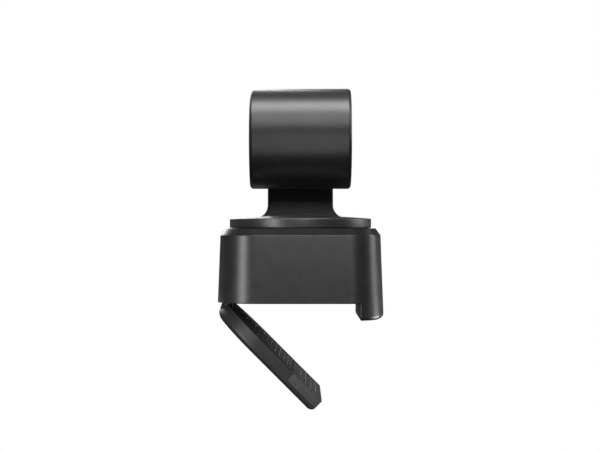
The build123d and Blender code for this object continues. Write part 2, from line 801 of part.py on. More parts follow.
with BuildPart() as head_shell:
    with BuildSketch(head_plane(-head_half_length)):
        Circle(head_radius)
    extrude(amount=2 * head_half_length)
    fillet(head_shell.edges().filter_by(GeomType.CIRCLE), head_round)
    with BuildSketch(tilt_plane(head_y)):
        Circle(boss_radius)
    extrude(amount=boss_face - head_y)
    fillet(head_shell.edges().sort_by(Axis.Y)[-1], 0.5)
    with BuildSketch(head_plane(-head_half_length)):
        Circle(head_bore)
    extrude(amount=2 * head_half_length, mode=Mode.SUBTRACT)
    with BuildSketch(tilt_plane(head_y)):
        Circle(tilt_shaft_radius)
    extrude(amount=20.0, mode=Mode.SUBTRACT)
head_shell.part.label = "head_shell"
export_step(head_shell.part, "parts/head_shell.step")

with BuildPart() as rear_cap:
    with BuildSketch(head_plane(-14.2)):
        Circle(head_bore - 0.05)
    extrude(amount=1.6)
    fillet(rear_cap.edges().group_by(Axis.X)[0], 0.3)
    with BuildSketch(head_plane(-12.6)):
        Circle(head_bore - 0.05)
        Circle(head_bore - 1.2, mode=Mode.SUBTRACT)
    extrude(amount=1.6)
rear_cap.part.label = "rear_cap"
export_step(rear_cap.part, "parts/rear_cap.step")

with BuildPart() as front_bezel:
    with BuildSketch(head_plane(11.6)):
        Circle(head_bore - 0.05)
    extrude(amount=2.5)
    fillet(front_bezel.edges().group_by(Axis.X)[-1], 0.3)
    with BuildSketch(head_plane(11.6)):
        Circle(9.4)
    extrude(amount=2.5, mode=Mode.SUBTRACT)
    with BuildSketch(head_plane(12.4)):
        Circle(10.6)
    extrude(amount=2.5, mode=Mode.SUBTRACT)
front_bezel.part.label = "front_bezel"
export_step(front_bezel.part, "parts/front_bezel.step")

with BuildPart() as front_glass:
    with BuildSketch(head_plane(12.4)):
        Circle(10.55)
    extrude(amount=1.2)
    chamfer(front_glass.edges().group_by(Axis.X)[-1], 0.2)
front_glass.part.label = "front_glass"
export_step(front_glass.part, "parts/front_glass.step")

with BuildPart() as lens_holder:
    with BuildSketch(head_plane(-0.2)):
        Rectangle(13.0, 13.0)
    extrude(amount=3.2)
    with BuildSketch(head_plane(3.0)):
        Circle(head_bore - 0.05)
    extrude(amount=1.4)
    with BuildSketch(head_plane(4.4)):
        Circle(7.9)
    extrude(amount=5.0)
    with BuildSketch(head_plane(-0.2)):
        Rectangle(10.6, 10.6)
    extrude(amount=3.2, mode=Mode.SUBTRACT)
    with BuildSketch(head_plane(3.0)):
        Circle(6.7)
    extrude(amount=10.0, mode=Mode.SUBTRACT)
lens_holder.part.label = "lens_holder"
export_step(lens_holder.part, "parts/lens_holder.step")

with BuildPart() as lens_trim_ring:
    with BuildSketch(head_plane(9.4)):
        Circle(9.3)
        Circle(6.75, mode=Mode.SUBTRACT)
    extrude(amount=1.2)
    chamfer(lens_trim_ring.edges().filter_by(GeomType.CIRCLE).group_by(Axis.X)[-1].sort_by(SortBy.RADIUS)[0], 0.8)
lens_trim_ring.part.label = "lens_trim_ring"
export_step(lens_trim_ring.part, "parts/lens_trim_ring.step")

with BuildPart() as image_sensor:
    with BuildSketch(head_plane(-0.2)):
        Rectangle(8.4, 7.0)
    extrude(amount=0.9)
image_sensor.part.label = "image_sensor"
export_step(image_sensor.part, "parts/image_sensor.step")

with BuildPart() as sensor_board:
    with BuildSketch(head_plane(-1.4)):
        RectangleRounded(16.0, 16.0, 1.0)
    extrude(amount=1.2)
sensor_board.part.label = "sensor_board"
export_step(sensor_board.part, "parts/sensor_board.step")

with BuildPart() as head_board:
    with BuildSketch(head_plane(-7.2)):
        Circle(12.6)
        with Locations((9.0, 0)):
            Rectangle(8.0, 8.0, align=(Align.MIN, Align.CENTER), mode=Mode.SUBTRACT)
    extrude(amount=1.2)
head_board.part.label = "head_board"
export_step(head_board.part, "parts/head_board.step")

with BuildPart() as head_chips:
    with BuildSketch(head_plane(-6.0)):
        with Locations((-2.0, 3.0)):
            Rectangle(8.0, 8.0)
        with Locations((-3.0, -5.5)):
            Rectangle(9.0, 5.0)
    extrude(amount=1.1)
head_chips.part.label = "head_chips"
export_step(head_chips.part, "parts/head_chips.step")

with BuildPart() as heat_sink:
    with BuildSketch(head_plane(-8.6)):
        RectangleRounded(16.0, 16.0, 1.0)
    extrude(amount=1.4)
    with BuildSketch(head_plane(-12.2)):
        with GridLocations(2.6, 1, 6, 1):
            Rectangle(0.8, 15.0)
    extrude(amount=3.6)
heat_sink.part.label = "heat_sink"
export_step(heat_sink.part, "parts/heat_sink.step")

with BuildPart() as tilt_shaft:
    with BuildSketch(tilt_plane(9.2)):
        Circle(2.4)
    extrude(amount=1.0)
    with BuildSketch(tilt_plane(9.2)):
        Circle(tilt_shaft_radius)
    extrude(amount=7.8)
tilt_shaft.part.label = "tilt_shaft"
export_step(tilt_shaft.part, "parts/tilt_shaft.step")

with BuildPart() as tilt_bearing_inner:
    for reach in tilt_bearing_reaches:
        with BuildSketch(tilt_plane(reach)):
            Circle(2.05)
            Circle(tilt_shaft_radius, mode=Mode.SUBTRACT)
        extrude(amount=tilt_bearing_width)
tilt_bearing_inner.part.label = "tilt_bearing_inner"
export_step(tilt_bearing_inner.part, "parts/tilt_bearing_inner.step")

with BuildPart() as tilt_rotor:
    with BuildSketch(tilt_plane(16.4)):
        Circle(8.2)
        Circle(tilt_shaft_radius, mode=Mode.SUBTRACT)
    extrude(amount=0.6)
    with BuildSketch(tilt_plane(13.9)):
        Circle(8.2)
        Circle(7.7, mode=Mode.SUBTRACT)
    extrude(amount=2.6)
tilt_rotor.part.label = "tilt_rotor"
export_step(tilt_rotor.part, "parts/tilt_rotor.step")

tilt_magnets = arc_blocks(tilt_plane(14.0), 7.1, 7.7, 2.3, 12, 0.9)
tilt_magnets.label = "tilt_magnets"
export_step(tilt_magnets, "parts/tilt_magnets.step")

# ---- Focusing lens ----

with BuildPart() as lens_barrel:
    with BuildSketch(head_plane(3.5)):
        Circle(6.4)
    extrude(amount=7.3)
    with BuildSketch(head_plane(3.5)):
        Circle(4.6)
    extrude(amount=7.3, mode=Mode.SUBTRACT)
    chamfer(lens_barrel.edges().filter_by(GeomType.CIRCLE).group_by(Axis.X)[-1].sort_by(SortBy.RADIUS)[0], 0.9)
lens_barrel.part.label = "lens_barrel"
export_step(lens_barrel.part, "parts/lens_barrel.step")

with BuildPart() as lens_elements:
    add(lens_solid(8.2, 4.6, 0.9, 0.3, 0.8))
    add(lens_solid(6.0, 4.6, 0.4, 0.5, 0.7))
    add(lens_solid(4.2, 4.6, 0.3, 0.3, 0.6))
lens_elements.part.label = "lens_elements"
export_step(lens_elements.part, "parts/lens_elements.step")

# ---- Leg ----

with BuildPart() as leg_frame:
    with BuildSketch(leg_plane.offset(leg_outer)) as leg_plan:
        with Locations((-nose_reach, 0)):
            Rectangle(leg_reach + nose_reach, 2 * leg_half_width, align=(Align.MIN, Align.CENTER))
        fillet(leg_plan.vertices().group_by(Axis.X)[0], leg_corner)
        fillet(leg_plan.vertices().group_by(Axis.X)[-1], leg_tip_corner)
    extrude(amount=leg_inner - leg_outer)
    fillet(leg_frame.edges().group_by(leg_normal)[0].sort_by(leg_length)[:-3], leg_edge_round)
    # Rounded end that turns in the base's groove
    with BuildSketch(leg_side):
        with Locations((-nose_reach, leg_outer)):
            Rectangle(leg_reach + nose_reach, leg_inner - leg_outer, align=(Align.MIN, Align.MIN))
        with Locations((-nose_reach, leg_outer)):
            Rectangle(nose_radius, nose_radius, align=(Align.MIN, Align.MIN), mode=Mode.SUBTRACT)
        with Locations((nose_radius - nose_reach, leg_outer + nose_radius)):
            Circle(nose_radius)
        with Locations((0, leg_inner)):
            Rectangle(4 * nose_radius, 2 * nose_radius, align=(Align.CENTER, Align.MIN), mode=Mode.SUBTRACT)
    extrude(amount=leg_half_width, both=True, mode=Mode.INTERSECT)
    # Knuckle on the pin, and notches for the base's two ears
    with BuildSketch(leg_side):
        Circle(knuckle_radius)
    extrude(amount=knuckle_half, both=True)
    for side in (-1, 1):
        with BuildSketch(leg_side.offset(side * (knuckle_half + ear_outer + ear_gap) / 2)):
            Circle(notch_radius)
            Rectangle(notch_radius, notch_radius, align=(Align.MAX, Align.MIN))
        extrude(amount=(ear_outer + ear_gap - knuckle_half) / 2, both=True, mode=Mode.SUBTRACT)
    with BuildSketch(leg_side):
        Circle(pin_radius + pin_clearance)
    extrude(amount=ear_outer, both=True, mode=Mode.SUBTRACT)
    # Recess for the pad, and the step that the tip's cap sits on
    with BuildSketch(leg_plane.offset(leg_inner)):
        with Locations((pad_start, 0)):
            Rectangle(pad_end - pad_start, pad_width, align=(Align.MIN, Align.CENTER))
    extrude(amount=-pad_depth, mode=Mode.SUBTRACT)
    with BuildSketch(leg_plane.offset(leg_inner)):
        with Locations((tip_pad_start, 0)):
            Rectangle(leg_reach, 3 * leg_half_width, align=(Align.MIN, Align.CENTER))
    extrude(amount=-tip_pad_depth, mode=Mode.SUBTRACT)
leg_frame.part.label = "leg_frame"
export_step(leg_frame.part, "parts/leg_frame.step")

with BuildPart() as leg_pad:
    with BuildSketch(leg_plane.offset(leg_inner - pad_depth)):
        with Locations((pad_start + pad_fit, 0)):
            Rectangle(pad_end - pad_start - 2 * pad_fit, pad_width - 2 * pad_fit, align=(Align.MIN, Align.CENTER))
    extrude(amount=pad_depth)
leg_pad.part.label = "leg_pad"
export_step(leg_pad.part, "parts/leg_pad.step")

with BuildPart() as leg_tip_pad:
    with BuildSketch(leg_plane.offset(leg_inner - tip_pad_depth)) as tip_plan:
        with Locations((tip_pad_start + pad_fit, 0)):
            Rectangle(leg_reach - tip_pad_start - pad_fit, 2 * leg_half_width, align=(Align.MIN, Align.CENTER))
        fillet(tip_plan.vertices().group_by(Axis.X)[-1], leg_tip_corner)
    extrude(amount=tip_pad_depth)
    fillet(leg_tip_pad.edges().group_by(leg_normal)[-1], tip_pad_round)
leg_tip_pad.part.label = "leg_tip_pad"
export_step(leg_tip_pad.part, "parts/leg_tip_pad.step")
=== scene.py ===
import json
import math
import bmesh
import bpy
from mathutils import Matrix, Vector

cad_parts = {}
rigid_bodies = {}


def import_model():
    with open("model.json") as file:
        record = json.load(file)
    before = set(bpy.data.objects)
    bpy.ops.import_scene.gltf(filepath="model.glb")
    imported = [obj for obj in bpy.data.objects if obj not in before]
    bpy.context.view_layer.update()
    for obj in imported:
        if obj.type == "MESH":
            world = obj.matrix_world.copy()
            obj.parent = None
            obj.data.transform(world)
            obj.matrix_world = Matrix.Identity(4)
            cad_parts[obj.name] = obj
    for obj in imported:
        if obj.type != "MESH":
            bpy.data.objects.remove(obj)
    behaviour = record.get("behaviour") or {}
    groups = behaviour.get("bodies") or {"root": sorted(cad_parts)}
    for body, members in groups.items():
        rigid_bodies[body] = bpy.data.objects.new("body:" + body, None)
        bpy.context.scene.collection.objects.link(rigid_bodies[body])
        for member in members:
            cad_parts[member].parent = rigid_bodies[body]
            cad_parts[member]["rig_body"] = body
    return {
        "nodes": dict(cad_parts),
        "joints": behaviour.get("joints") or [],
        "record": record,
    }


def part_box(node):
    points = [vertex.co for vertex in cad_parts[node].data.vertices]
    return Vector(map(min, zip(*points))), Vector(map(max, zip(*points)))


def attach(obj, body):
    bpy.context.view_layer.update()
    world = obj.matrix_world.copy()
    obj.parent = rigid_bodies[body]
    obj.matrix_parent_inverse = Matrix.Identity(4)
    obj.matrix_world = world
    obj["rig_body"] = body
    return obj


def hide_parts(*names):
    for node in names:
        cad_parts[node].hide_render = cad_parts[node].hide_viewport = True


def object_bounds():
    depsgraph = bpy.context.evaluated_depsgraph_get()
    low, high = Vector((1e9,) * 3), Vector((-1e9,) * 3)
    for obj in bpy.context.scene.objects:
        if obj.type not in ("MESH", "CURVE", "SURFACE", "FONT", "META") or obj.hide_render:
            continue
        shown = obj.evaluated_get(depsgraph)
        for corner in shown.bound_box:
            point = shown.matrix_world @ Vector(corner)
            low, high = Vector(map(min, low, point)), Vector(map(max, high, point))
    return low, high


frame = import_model()
cadLow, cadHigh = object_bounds()
mm = 0.001
print("frame loaded")

camera = {
    "distance": 455 * mm,
    "side": -0.13 * mm,
    "height": 21.1 * mm,
    "lookUp": 0.11,  # degrees
    "lens": 93.5,
    "sensor": 36,
    "nearest": 0.01,
    "farthest": 20,
}


def makeCamera():
    data = bpy.data.cameras.new("mainCamera")
    data.lens = camera["lens"]
    data.sensor_width = camera["sensor"]
    data.clip_start = camera["nearest"]
    data.clip_end = camera["farthest"]
    cam = bpy.data.objects.new("mainCamera", data)
    bpy.context.collection.objects.link(cam)
    cam.location = (camera["side"], -camera["distance"], camera["height"])
    cam.rotation_euler = (math.radians(90 + camera["lookUp"]), 0, 0)
    bpy.context.scene.camera = cam
    bpy.context.scene.view_settings.view_transform = "Standard"


makeCamera()

# places, aims and sizes in metres, power in watts; a lamp with a reach lights only those bodies or nodes
lights = {
    "overheadBox": {
        "place": (0.0, -0.13, 0.60), "aim": (0, 0, 0.04), "width": 0.70, "height": 0.24, "power": 5.6,
        "reach": ("head", "lens", "turret"),
    },
    "overheadSoft": {
        "place": (0.0, -0.42, 0.44), "aim": (0, 0, 0.045), "width": 0.60, "height": 0.30, "power": 2.0,
        "reach": ("head", "lens"),
    },
    "headFill": {
        "place": (0.05, -0.90, -0.16), "aim": (0, 0, 0.045), "width": 0.50, "height": 0.80, "power": 2.1,
        "reach": ("head", "lens"),
    },
    "frontFill": {
        "place": (0.08, -0.90, 0.36), "aim": (0, 0, 0.02), "width": 0.45, "height": 0.34, "power": 3.9,
        "reach": ("base", "leg", "turntable"),
    },
    "armFill": {
        "place": (0.00, -0.90, 0.36), "aim": (0, 0, 0.03), "width": 0.45, "height": 0.30, "power": 2.0,
        "reach": ("arm_frame", "arm_cover"),
    },
    "edgeLift": {
        "place": (0.0, -0.62, 0.56), "aim": (0, 0, 0.02), "width": 0.60, "height": 0.14, "power": 2.4,
        "reach": ("base", "turntable"),
    },
    "leftStrip": {
        "place": (-0.50, -0.50, 0.04), "aim": (0, 0, 0.02), "width": 0.22, "height": 0.50, "power": 3.3,
        "reach": ("base", "leg", "turntable"),
    },
    "leftRim": {
        "place": (-0.42, 0.45, -0.17), "aim": (0, 0, 0.01), "width": 0.30, "height": 0.25, "power": 0.30,
        "reach": ("base", "turntable"),
    },
    "rightRim": {
        "place": (0.46, 0.26, -0.17), "aim": (0, 0, 0.01), "width": 0.34, "height": 0.25, "power": 2.0,
        "reach": ("base", "turntable"),
    },
    "rearFill": {
        "place": (-0.30, 0.80, 0.42), "aim": (0, 0, 0.03), "width": 0.60, "height": 0.50, "power": 5.0,
        "reach": (),
    },
    "lensSideFill": {
        "place": (0.84, 0.26, 0.30), "aim": (0, 0, 0.03), "width": 0.45, "height": 0.50, "power": 4.0,
        "reach": (),
    },
}
lampReach = {}


def makeLight(name, facts):
    data = bpy.data.lights.new(name, "AREA")
    data.shape = "RECTANGLE"
    data.size = facts["width"]
    data.size_y = facts["height"]
    data.energy = facts["power"]
    lamp = bpy.data.objects.new(name, data)
    bpy.context.collection.objects.link(lamp)
    lamp.location = facts["place"]
    toward = Vector(facts["aim"]) - Vector(facts["place"])
    lamp.rotation_euler = toward.to_track_quat("-Z", "Y").to_euler()
    if facts["reach"]:
        lit = bpy.data.collections.new(name + "Reach")
        lamp.light_linking.receiver_collection = lit
        lampReach[name] = (lit, facts["reach"])


for lightName, lightFacts in lights.items():
    makeLight(lightName, lightFacts)

# the sky looks white to the camera but adds only a little light, and the floor adds none
surround = {
    "floorDrop": 2 * mm,
    "reach": 6.0,
    "glow": 1.0,
    "worldGlow": 0.03,
}


def makeSurround():
    world = bpy.data.worlds.new("studio")
    world.use_nodes = True
    sky = world.node_tree
    background = sky.nodes["Background"]
    background.inputs["Color"].default_value = (1, 1, 1, 1)
    rays = sky.nodes.new("ShaderNodeLightPath")
    strength = sky.nodes.new("ShaderNodeMapRange")
    strength.inputs["To Min"].default_value = surround["worldGlow"]
    strength.inputs["To Max"].default_value = surround["glow"]
    sky.links.new(rays.outputs["Is Camera Ray"], strength.inputs["Value"])
    sky.links.new(strength.outputs["Result"], background.inputs["Strength"])
    bpy.context.scene.world = world
    pale = bpy.data.materials.new("paleFloor")
    pale.use_nodes = True
    tree = pale.node_tree
    tree.nodes.clear()
    glow = tree.nodes.new("ShaderNodeEmission")
    glow.inputs["Color"].default_value = (1, 1, 1, 1)
    glow.inputs["Strength"].default_value = surround["glow"]
    out = tree.nodes.new("ShaderNodeOutputMaterial")
    tree.links.new(glow.outputs["Emission"], out.inputs["Surface"])
    ground = bmesh.new()
    bmesh.ops.create_grid(ground, x_segments=1, y_segments=1, size=surround["reach"])
    bmesh.ops.translate(ground, verts=ground.verts, vec=(0, 0, cadLow.z - surround["floorDrop"]))
    mesh = bpy.data.meshes.new("floor")
    ground.to_mesh(mesh)
    ground.free()
    mesh.materials.append(pale)
    floor = bpy.data.objects.new("floor", mesh)
    bpy.context.collection.objects.link(floor)
    floor.visible_diffuse = False
    floor.visible_glossy = False
    floor.visible_transmission = False
    floor.visible_shadow = False


makeSurround()
print("camera, lights and floor ready")


def newMaterial(name, facts):
    mat = bpy.data.materials.new(name)
    mat.use_nodes = True
    tree = mat.node_tree
    shader = tree.nodes["Principled BSDF"]
    shader.inputs["Metallic"].default_value = facts.get("metallic", 0.0)
    shader.inputs["IOR"].default_value = facts.get("ior", 1.5)
    shader.inputs["Specular IOR Level"].default_value = facts.get("specular", 0.5)
    shader.inputs["Coat Weight"].default_value = facts.get("coat", 0.0)
    shader.inputs["Coat Roughness"].default_value = facts.get("coatRoughness", 0.1)
    shader.inputs["Transmission Weight"].default_value = facts.get("clear", 0.0)
    shader.inputs["Thin Film Thickness"].default_value = facts.get("filmThickness", 0.0)
    shader.inputs["Thin Film IOR"].default_value = facts.get("filmIor", 1.38)
    coords = tree.nodes.new("ShaderNodeTexCoord")
    place = tree.nodes.new("ShaderNodeMapping")
    place.inputs["Scale"].default_value = facts.get("stretch", (1, 1, 1))
    tree.links.new(coords.outputs["Object"], place.inputs["Vector"])
    return mat, tree, shader, place


def noiseOn(tree, place, scale, detail=3, roughness=0.5):
    noise = tree.nodes.new("ShaderNodeTexNoise")
    noise.inputs["Scale"].default_value = scale
    noise.inputs["Detail"].default_value = detail
    noise.inputs["Roughness"].default_value = roughness
    tree.links.new(place.outputs["Vector"], noise.inputs["Vector"])
    return noise.outputs["Fac"]


def cellsOn(tree, place, scale, feature="F1"):
    cells = tree.nodes.new("ShaderNodeTexVoronoi")
    cells.feature = feature
    cells.inputs["Scale"].default_value = scale
    tree.links.new(place.outputs["Vector"], cells.inputs["Vector"])
    return cells.outputs["Distance"]


def bandsOn(tree, place, scale, direction):
    waves = tree.nodes.new("ShaderNodeTexWave")
    waves.wave_type = "BANDS"
    waves.bands_direction = direction
    waves.inputs["Scale"].default_value = scale
    tree.links.new(place.outputs["Vector"], waves.inputs["Vector"])
    return waves.outputs["Fac"]


def tintWith(tree, shader, pattern, first, second, low=0.35, high=0.65):
    spread = tree.nodes.new("ShaderNodeMapRange")
    spread.inputs["From Min"].default_value = low
    spread.inputs["From Max"].default_value = high
    blend = tree.nodes.new("ShaderNodeMix")
    blend.data_type = "RGBA"
    blend.inputs["A"].default_value = (*first, 1)
    blend.inputs["B"].default_value = (*second, 1)
    tree.links.new(pattern, spread.inputs["Value"])
    tree.links.new(spread.outputs["Result"], blend.inputs["Factor"])
    tree.links.new(blend.outputs["Result"], shader.inputs["Base Color"])


patterns = {"roughFrom": 0.3, "roughTo": 0.7, "bevelSamples": 6}


def roughWith(tree, shader, pattern, low, high):
    spread = tree.nodes.new("ShaderNodeMapRange")
    spread.inputs["From Min"].default_value = patterns["roughFrom"]
    spread.inputs["From Max"].default_value = patterns["roughTo"]
    spread.inputs["To Min"].default_value = low
    spread.inputs["To Max"].default_value = high
    tree.links.new(pattern, spread.inputs["Value"])
    tree.links.new(spread.outputs["Result"], shader.inputs["Roughness"])


def reliefWith(tree, shader, pattern, strength, distance, under=None, edge=0.0):
    relief = tree.nodes.new("ShaderNodeBump")
    relief.inputs["Strength"].default_value = strength
    relief.inputs["Distance"].default_value = distance
    tree.links.new(pattern, relief.inputs["Height"])
    if edge:
        rounded = tree.nodes.new("ShaderNodeBevel")
        rounded.samples = patterns["bevelSamples"]
        rounded.inputs["Radius"].default_value = edge
        tree.links.new(rounded.outputs["Normal"], relief.inputs["Normal"])
    if under:
        tree.links.new(under.outputs["Normal"], relief.inputs["Normal"])
    tree.links.new(relief.outputs["Normal"], shader.inputs["Normal"])
    return relief


# fine spark-eroded mould texture: a soft mottle, a tight grain and slightly rounded edges
plastics = {
    "shellPlastic": {"color": (0.016, 0.016, 0.017), "tint": (0.021, 0.021, 0.022), "rough": (0.31, 0.37),
                     "grain": 5200, "strength": 0.14, "edge": 0.34 * mm, "specular": 0.5},
    "turntablePlastic": {"color": (0.016, 0.016, 0.017), "tint": (0.020, 0.020, 0.021), "rough": (0.33, 0.40),
                         "grain": 6400, "strength": 0.16, "edge": 0.12 * mm, "specular": 0.5},
    "legPlastic": {"color": (0.018, 0.018, 0.019), "tint": (0.024, 0.024, 0.025), "rough": (0.40, 0.48),
                   "grain": 4800, "strength": 0.22, "edge": 0.2 * mm, "specular": 0.5},
    "chipPlastic": {"color": (0.020, 0.020, 0.021), "tint": (0.030, 0.030, 0.031), "rough": (0.5, 0.62),
                    "grain": 3600, "strength": 0.3, "edge": 0.08 * mm, "specular": 0.4},
}


mould = {"mottle": 260, "sheen": 900, "relief": 0.012 * mm}


def plasticMaterial(name):
    facts = plastics[name]
    mat, tree, shader, place = newMaterial(name, facts)
    mottle = noiseOn(tree, place, mould["mottle"], 4)
    tintWith(tree, shader, mottle, facts["color"], facts["tint"])
    roughWith(tree, shader, noiseOn(tree, place, mould["sheen"], 5, 0.6), *facts["rough"])
    grain = noiseOn(tree, place, facts["grain"], 3, 0.6)
    reliefWith(tree, shader, grain, facts["strength"], mould["relief"], edge=facts["edge"])
    return mat


# grip rubber: dull, with a dimpled skin and paler, dusty patches
rubber = {
    "color": (0.052, 0.052, 0.054), "dust": (0.074, 0.074, 0.077), "rough": (0.52, 0.66),
    "dimples": 2600, "specular": 0.35, "strength": 0.5, "depth": 0.03 * mm, "dusting": 700, "sheen": 1500,
    "grain": 9000, "grainStrength": 0.25, "grainDepth": 0.01 * mm,
}


def rubberMaterial(name):
    mat, tree, shader, place = newMaterial(name, rubber)
    tintWith(tree, shader, noiseOn(tree, place, rubber["dusting"], 6, 0.65), rubber["color"], rubber["dust"])
    roughWith(tree, shader, noiseOn(tree, place, rubber["sheen"], 4), *rubber["rough"])
    cells = cellsOn(tree, place, rubber["dimples"])
    dimples = reliefWith(tree, shader, cells, rubber["strength"], rubber["depth"])
    grain = noiseOn(tree, place, rubber["grain"], 2)
    reliefWith(tree, shader, grain, rubber["grainStrength"], rubber["grainDepth"], under=dimples)
    return mat


# polished black: a clear coat over black, with faint wiping marks in its gloss
glossBlack = {
    "color": (0.008, 0.008, 0.009), "haze": (0.012, 0.012, 0.013), "rough": (0.05, 0.14), "coat": 0.5,
    "coatRoughness": 0.03, "stretch": (1, 3, 1), "specular": 0.5, "clouding": 180, "wipes": 420,
    "ripple": 700, "rippleStrength": 0.04, "rippleDepth": 0.01 * mm,
}


def glossMaterial(name):
    mat, tree, shader, place = newMaterial(name, glossBlack)
    clouding = noiseOn(tree, place, glossBlack["clouding"], 4)
    tintWith(tree, shader, clouding, glossBlack["color"], glossBlack["haze"])
    roughWith(tree, shader, noiseOn(tree, place, glossBlack["wipes"], 6, 0.7), *glossBlack["rough"])
    ripple = noiseOn(tree, place, glossBlack["ripple"], 2)
    reliefWith(tree, shader, ripple, glossBlack["rippleStrength"], glossBlack["rippleDepth"])
    return mat


# coated glass: thin-film colour from an anti-reflection layer, and a trace of dust in the roughness
glasses = {
    "coverGlass": {
        "color": (0.90, 0.93, 0.95), "tint": (0.86, 0.90, 0.93), "rough": (0.0, 0.03), "clear": 1.0,
        "ior": 1.5, "filmThickness": 130.0, "filmIor": 1.38,
    },
    "lensGlass": {
        "color": (0.80, 0.84, 0.95), "tint": (0.72, 0.78, 0.94), "rough": (0.0, 0.02), "clear": 1.0,
        "ior": 1.62, "filmThickness": 310.0, "filmIor": 1.38,
    },
}


coating = {"clouding": 120, "dust": 1400}


def glassMaterial(name):
    facts = glasses[name]
    mat, tree, shader, place = newMaterial(name, facts)
    tintWith(tree, shader, noiseOn(tree, place, coating["clouding"], 2), facts["color"], facts["tint"])
    roughWith(tree, shader, noiseOn(tree, place, coating["dust"], 5, 0.7), *facts["rough"])
    return mat


# bare and finished metals: a grain that tone and gloss follow, stretched into streaks on most of them
metals = {
    "turnedSteel": {
        "color": (0.60, 0.60, 0.62), "tint": (0.50, 0.50, 0.52), "rough": (0.22, 0.38),
        "metallic": 1.0, "stretch": (1, 1, 22), "grain": 1500,
    },
    "blackScrew": {
        "color": (0.030, 0.030, 0.031), "tint": (0.055, 0.055, 0.058), "rough": (0.32, 0.48),
        "metallic": 0.9, "stretch": (1, 1, 1), "grain": 3200,
    },
    "platedBrass": {
        "color": (0.76, 0.70, 0.54), "tint": (0.68, 0.60, 0.44), "rough": (0.20, 0.36),
        "metallic": 1.0, "stretch": (1, 1, 14), "grain": 1700,
    },
    "heatSinkAlloy": {
        "color": (0.56, 0.56, 0.58), "tint": (0.48, 0.48, 0.50), "rough": (0.34, 0.46),
        "metallic": 1.0, "stretch": (18, 1, 1), "grain": 1600,
    },
    "lensAlloy": {
        "color": (0.020, 0.020, 0.021), "tint": (0.030, 0.030, 0.032), "rough": (0.26, 0.38),
        "metallic": 0.6, "stretch": (30, 1, 1), "grain": 1400,
    },
    "magnetPlate": {
        "color": (0.55, 0.56, 0.58), "tint": (0.46, 0.47, 0.49), "rough": (0.12, 0.26),
        "metallic": 1.0, "stretch": (1, 1, 1), "grain": 900,
    },
}


streaking = {"strength": 0.12, "depth": 0.006 * mm, "edge": 0.06 * mm}


def metalMaterial(name):
    facts = metals[name]
    mat, tree, shader, place = newMaterial(name, facts)
    streaks = noiseOn(tree, place, facts["grain"], 5, 0.6)
    tintWith(tree, shader, streaks, facts["color"], facts["tint"])
    roughWith(tree, shader, streaks, *facts["rough"])
    reliefWith(tree, shader, streaks, streaking["strength"], streaking["depth"], edge=streaking["edge"])
    return mat


# enamelled wire: the turns show as a fine ribbing, with painted shade darkening the grooves between the turns
windings = {
    "color": (0.72, 0.34, 0.15), "tint": (0.50, 0.20, 0.08), "rough": (0.22, 0.36), "metallic": 0.85,
    "turns": 1500, "coat": 0.4, "sheen": 1200, "strength": 0.6, "depth": 0.05 * mm,
}


def windingMaterial(name):
    mat, tree, shader, place = newMaterial(name, windings)
    turns = bandsOn(tree, place, windings["turns"], "Z")
    # the darker colour sits where the ribbing sinks: painted shade between the turns
    tintWith(tree, shader, turns, windings["tint"], windings["color"], 0.0, 0.6)
    roughWith(tree, shader, noiseOn(tree, place, windings["sheen"], 3), *windings["rough"])
    reliefWith(tree, shader, turns, windings["strength"], windings["depth"])
    return mat


# solder mask over tracks: paths a shade lighter than the board, over a faint weave
board = {
    "color": (0.010, 0.090, 0.040), "track": (0.020, 0.150, 0.070), "rough": (0.24, 0.36), "coat": 0.25,
    "tracks": 520, "trackStrength": 0.2, "trackHeight": 0.03 * mm, "sheen": 800,
    "weave": 1600, "weaveStrength": 0.08, "weaveDepth": 0.01 * mm,
}


def boardMaterial(name):
    mat, tree, shader, place = newMaterial(name, board)
    tracks = cellsOn(tree, place, board["tracks"], "DISTANCE_TO_EDGE")
    tintWith(tree, shader, tracks, board["track"], board["color"], 0.05, 0.09)
    roughWith(tree, shader, noiseOn(tree, place, board["sheen"], 3), *board["rough"])
    threads = bandsOn(tree, place, board["weave"], "DIAGONAL")
    weave = reliefWith(tree, shader, threads, board["weaveStrength"], board["weaveDepth"])
    reliefWith(tree, shader, tracks, board["trackStrength"], board["trackHeight"], under=weave)
    return mat


# flat cable: amber film with its conductors showing through
flatCable = {
    "color": (0.52, 0.27, 0.05), "conductor": (0.62, 0.42, 0.16), "rough": (0.28, 0.42), "coat": 0.3,
    "conductors": 1000, "sheen": 700, "strength": 0.3, "depth": 0.02 * mm,
}


def cableMaterial(name):
    mat, tree, shader, place = newMaterial(name, flatCable)
    lines = bandsOn(tree, place, flatCable["conductors"], "X")
    tintWith(tree, shader, lines, flatCable["color"], flatCable["conductor"], 0.45, 0.6)
    roughWith(tree, shader, noiseOn(tree, place, flatCable["sheen"], 4), *flatCable["rough"])
    reliefWith(tree, shader, lines, flatCable["strength"], flatCable["depth"])
    return mat


# diffusing plastic over the indicator: milky, with a fine frost
indicatorPlastic = {
    "color": (0.78, 0.80, 0.79), "tint": (0.70, 0.73, 0.72), "rough": (0.25, 0.40), "clear": 0.35,
    "ior": 1.49, "clouding": 900, "sheen": 2600, "frost": 7000, "frostStrength": 0.1, "frostDepth": 0.01 * mm,
}


def indicatorMaterial(name):
    mat, tree, shader, place = newMaterial(name, indicatorPlastic)
    clouding = noiseOn(tree, place, indicatorPlastic["clouding"], 4)
    tintWith(tree, shader, clouding, indicatorPlastic["color"], indicatorPlastic["tint"])
    roughWith(tree, shader, noiseOn(tree, place, indicatorPlastic["sheen"], 3), *indicatorPlastic["rough"])
    frost = noiseOn(tree, place, indicatorPlastic["frost"], 2)
    reliefWith(tree, shader, frost, indicatorPlastic["frostStrength"], indicatorPlastic["frostDepth"])
    return mat


